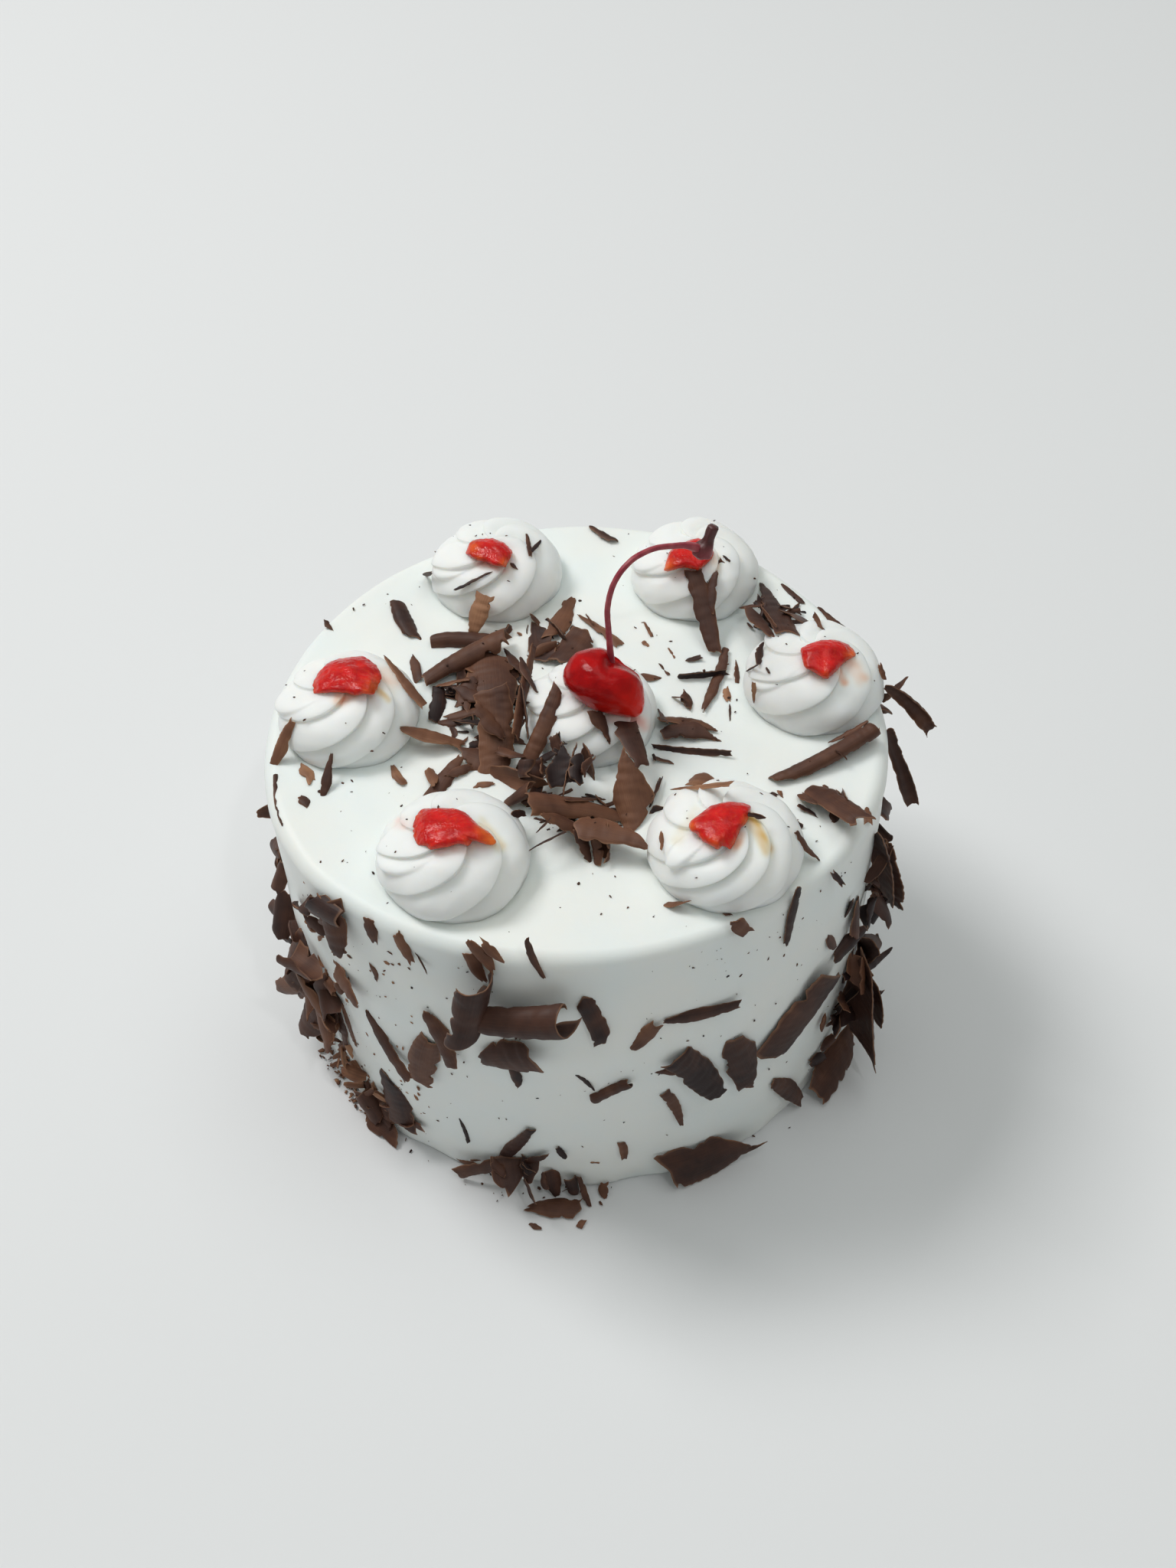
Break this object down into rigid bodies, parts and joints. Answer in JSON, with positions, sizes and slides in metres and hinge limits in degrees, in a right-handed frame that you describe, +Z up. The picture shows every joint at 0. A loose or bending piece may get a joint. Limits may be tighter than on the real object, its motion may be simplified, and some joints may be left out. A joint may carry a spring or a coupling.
{
  "type": "whipped cream cake",
  "caption": "Round white cake coated in whipped cream, with piped rosettes, pieces of glace cherry, a whole stemmed cherry and curls of dark chocolate.",
  "frame": {"origin": "centre of the flat base of the cake", "axes": "+Z up, -Y towards the front, +X to the right seen from the front"},
  "size_m": [0.206, 0.192, 0.1627],
  "materials": {
    "cream": "soft whipped cream, cool white, slightly uneven from the spatula, faintly see-through at thin edges",
    "chocolate": "waxy dark chocolate, matt on the scraped side, paler brown at thin edges",
    "cherry_red": "wet glace cherry, bright red, see-through at the edges, with a syrup gloss",
    "cherry_dark": "wet whole cherry, deep red, lighter red on the lower right",
    "stem": "dull crimson stalk with a brown nub at its end"
  },
  "bodies": {
    "root": {"back_curl_01": "chocolate", "back_curl_02": "chocolate", "back_curl_03": "chocolate", "back_curl_04": "chocolate", "back_curl_05": "chocolate", "back_curl_06": "chocolate", "back_curl_07": "chocolate", "cake": "cream", "cherry": "cherry_dark", "cherry_piece_back_left": "cherry_red", "cherry_piece_back_right": "cherry_red", "cherry_piece_front_left": "cherry_red", "cherry_piece_front_right": "cherry_red", "cherry_piece_left": "cherry_red", "cherry_piece_right": "cherry_red", "cherry_stem": "stem", "chocolate_pile": "chocolate", "chocolate_pile_rim": "chocolate", "foot_curl_01": "chocolate", "foot_curl_02": "chocolate", "foot_curl_03": "chocolate", "foot_curl_04": "chocolate", "rosette_back_left": "cream", "rosette_back_right": "cream", "rosette_centre": "cream", "rosette_front_left": "cream", "rosette_front_right": "cream", "rosette_left": "cream", "rosette_right": "cream", "side_curl_01": "chocolate", "side_curl_02": "chocolate", "side_curl_03": "chocolate", "side_curl_04": "chocolate", "side_curl_05": "chocolate", "side_curl_06": "chocolate", "side_curl_07": "chocolate", "side_curl_08": "chocolate", "side_curl_09": "chocolate", "side_curl_10": "chocolate", "side_curl_11": "chocolate", "side_curl_12": "chocolate", "side_curl_13": "chocolate", "side_curl_14": "chocolate", "side_curl_15": "chocolate", "side_curl_16": "chocolate", "side_curl_17": "chocolate", "side_curl_18": "chocolate", "side_curl_19": "chocolate", "side_curl_20": "chocolate", "side_curl_21": "chocolate", "top_curl_back_left": "chocolate", "top_curl_left_a": "chocolate", "top_curl_right_a": "chocolate", "top_curl_right_b": "chocolate", "top_curl_right_c": "chocolate", "top_leaf_back_right": "chocolate"}
  },
  "joints": []
}
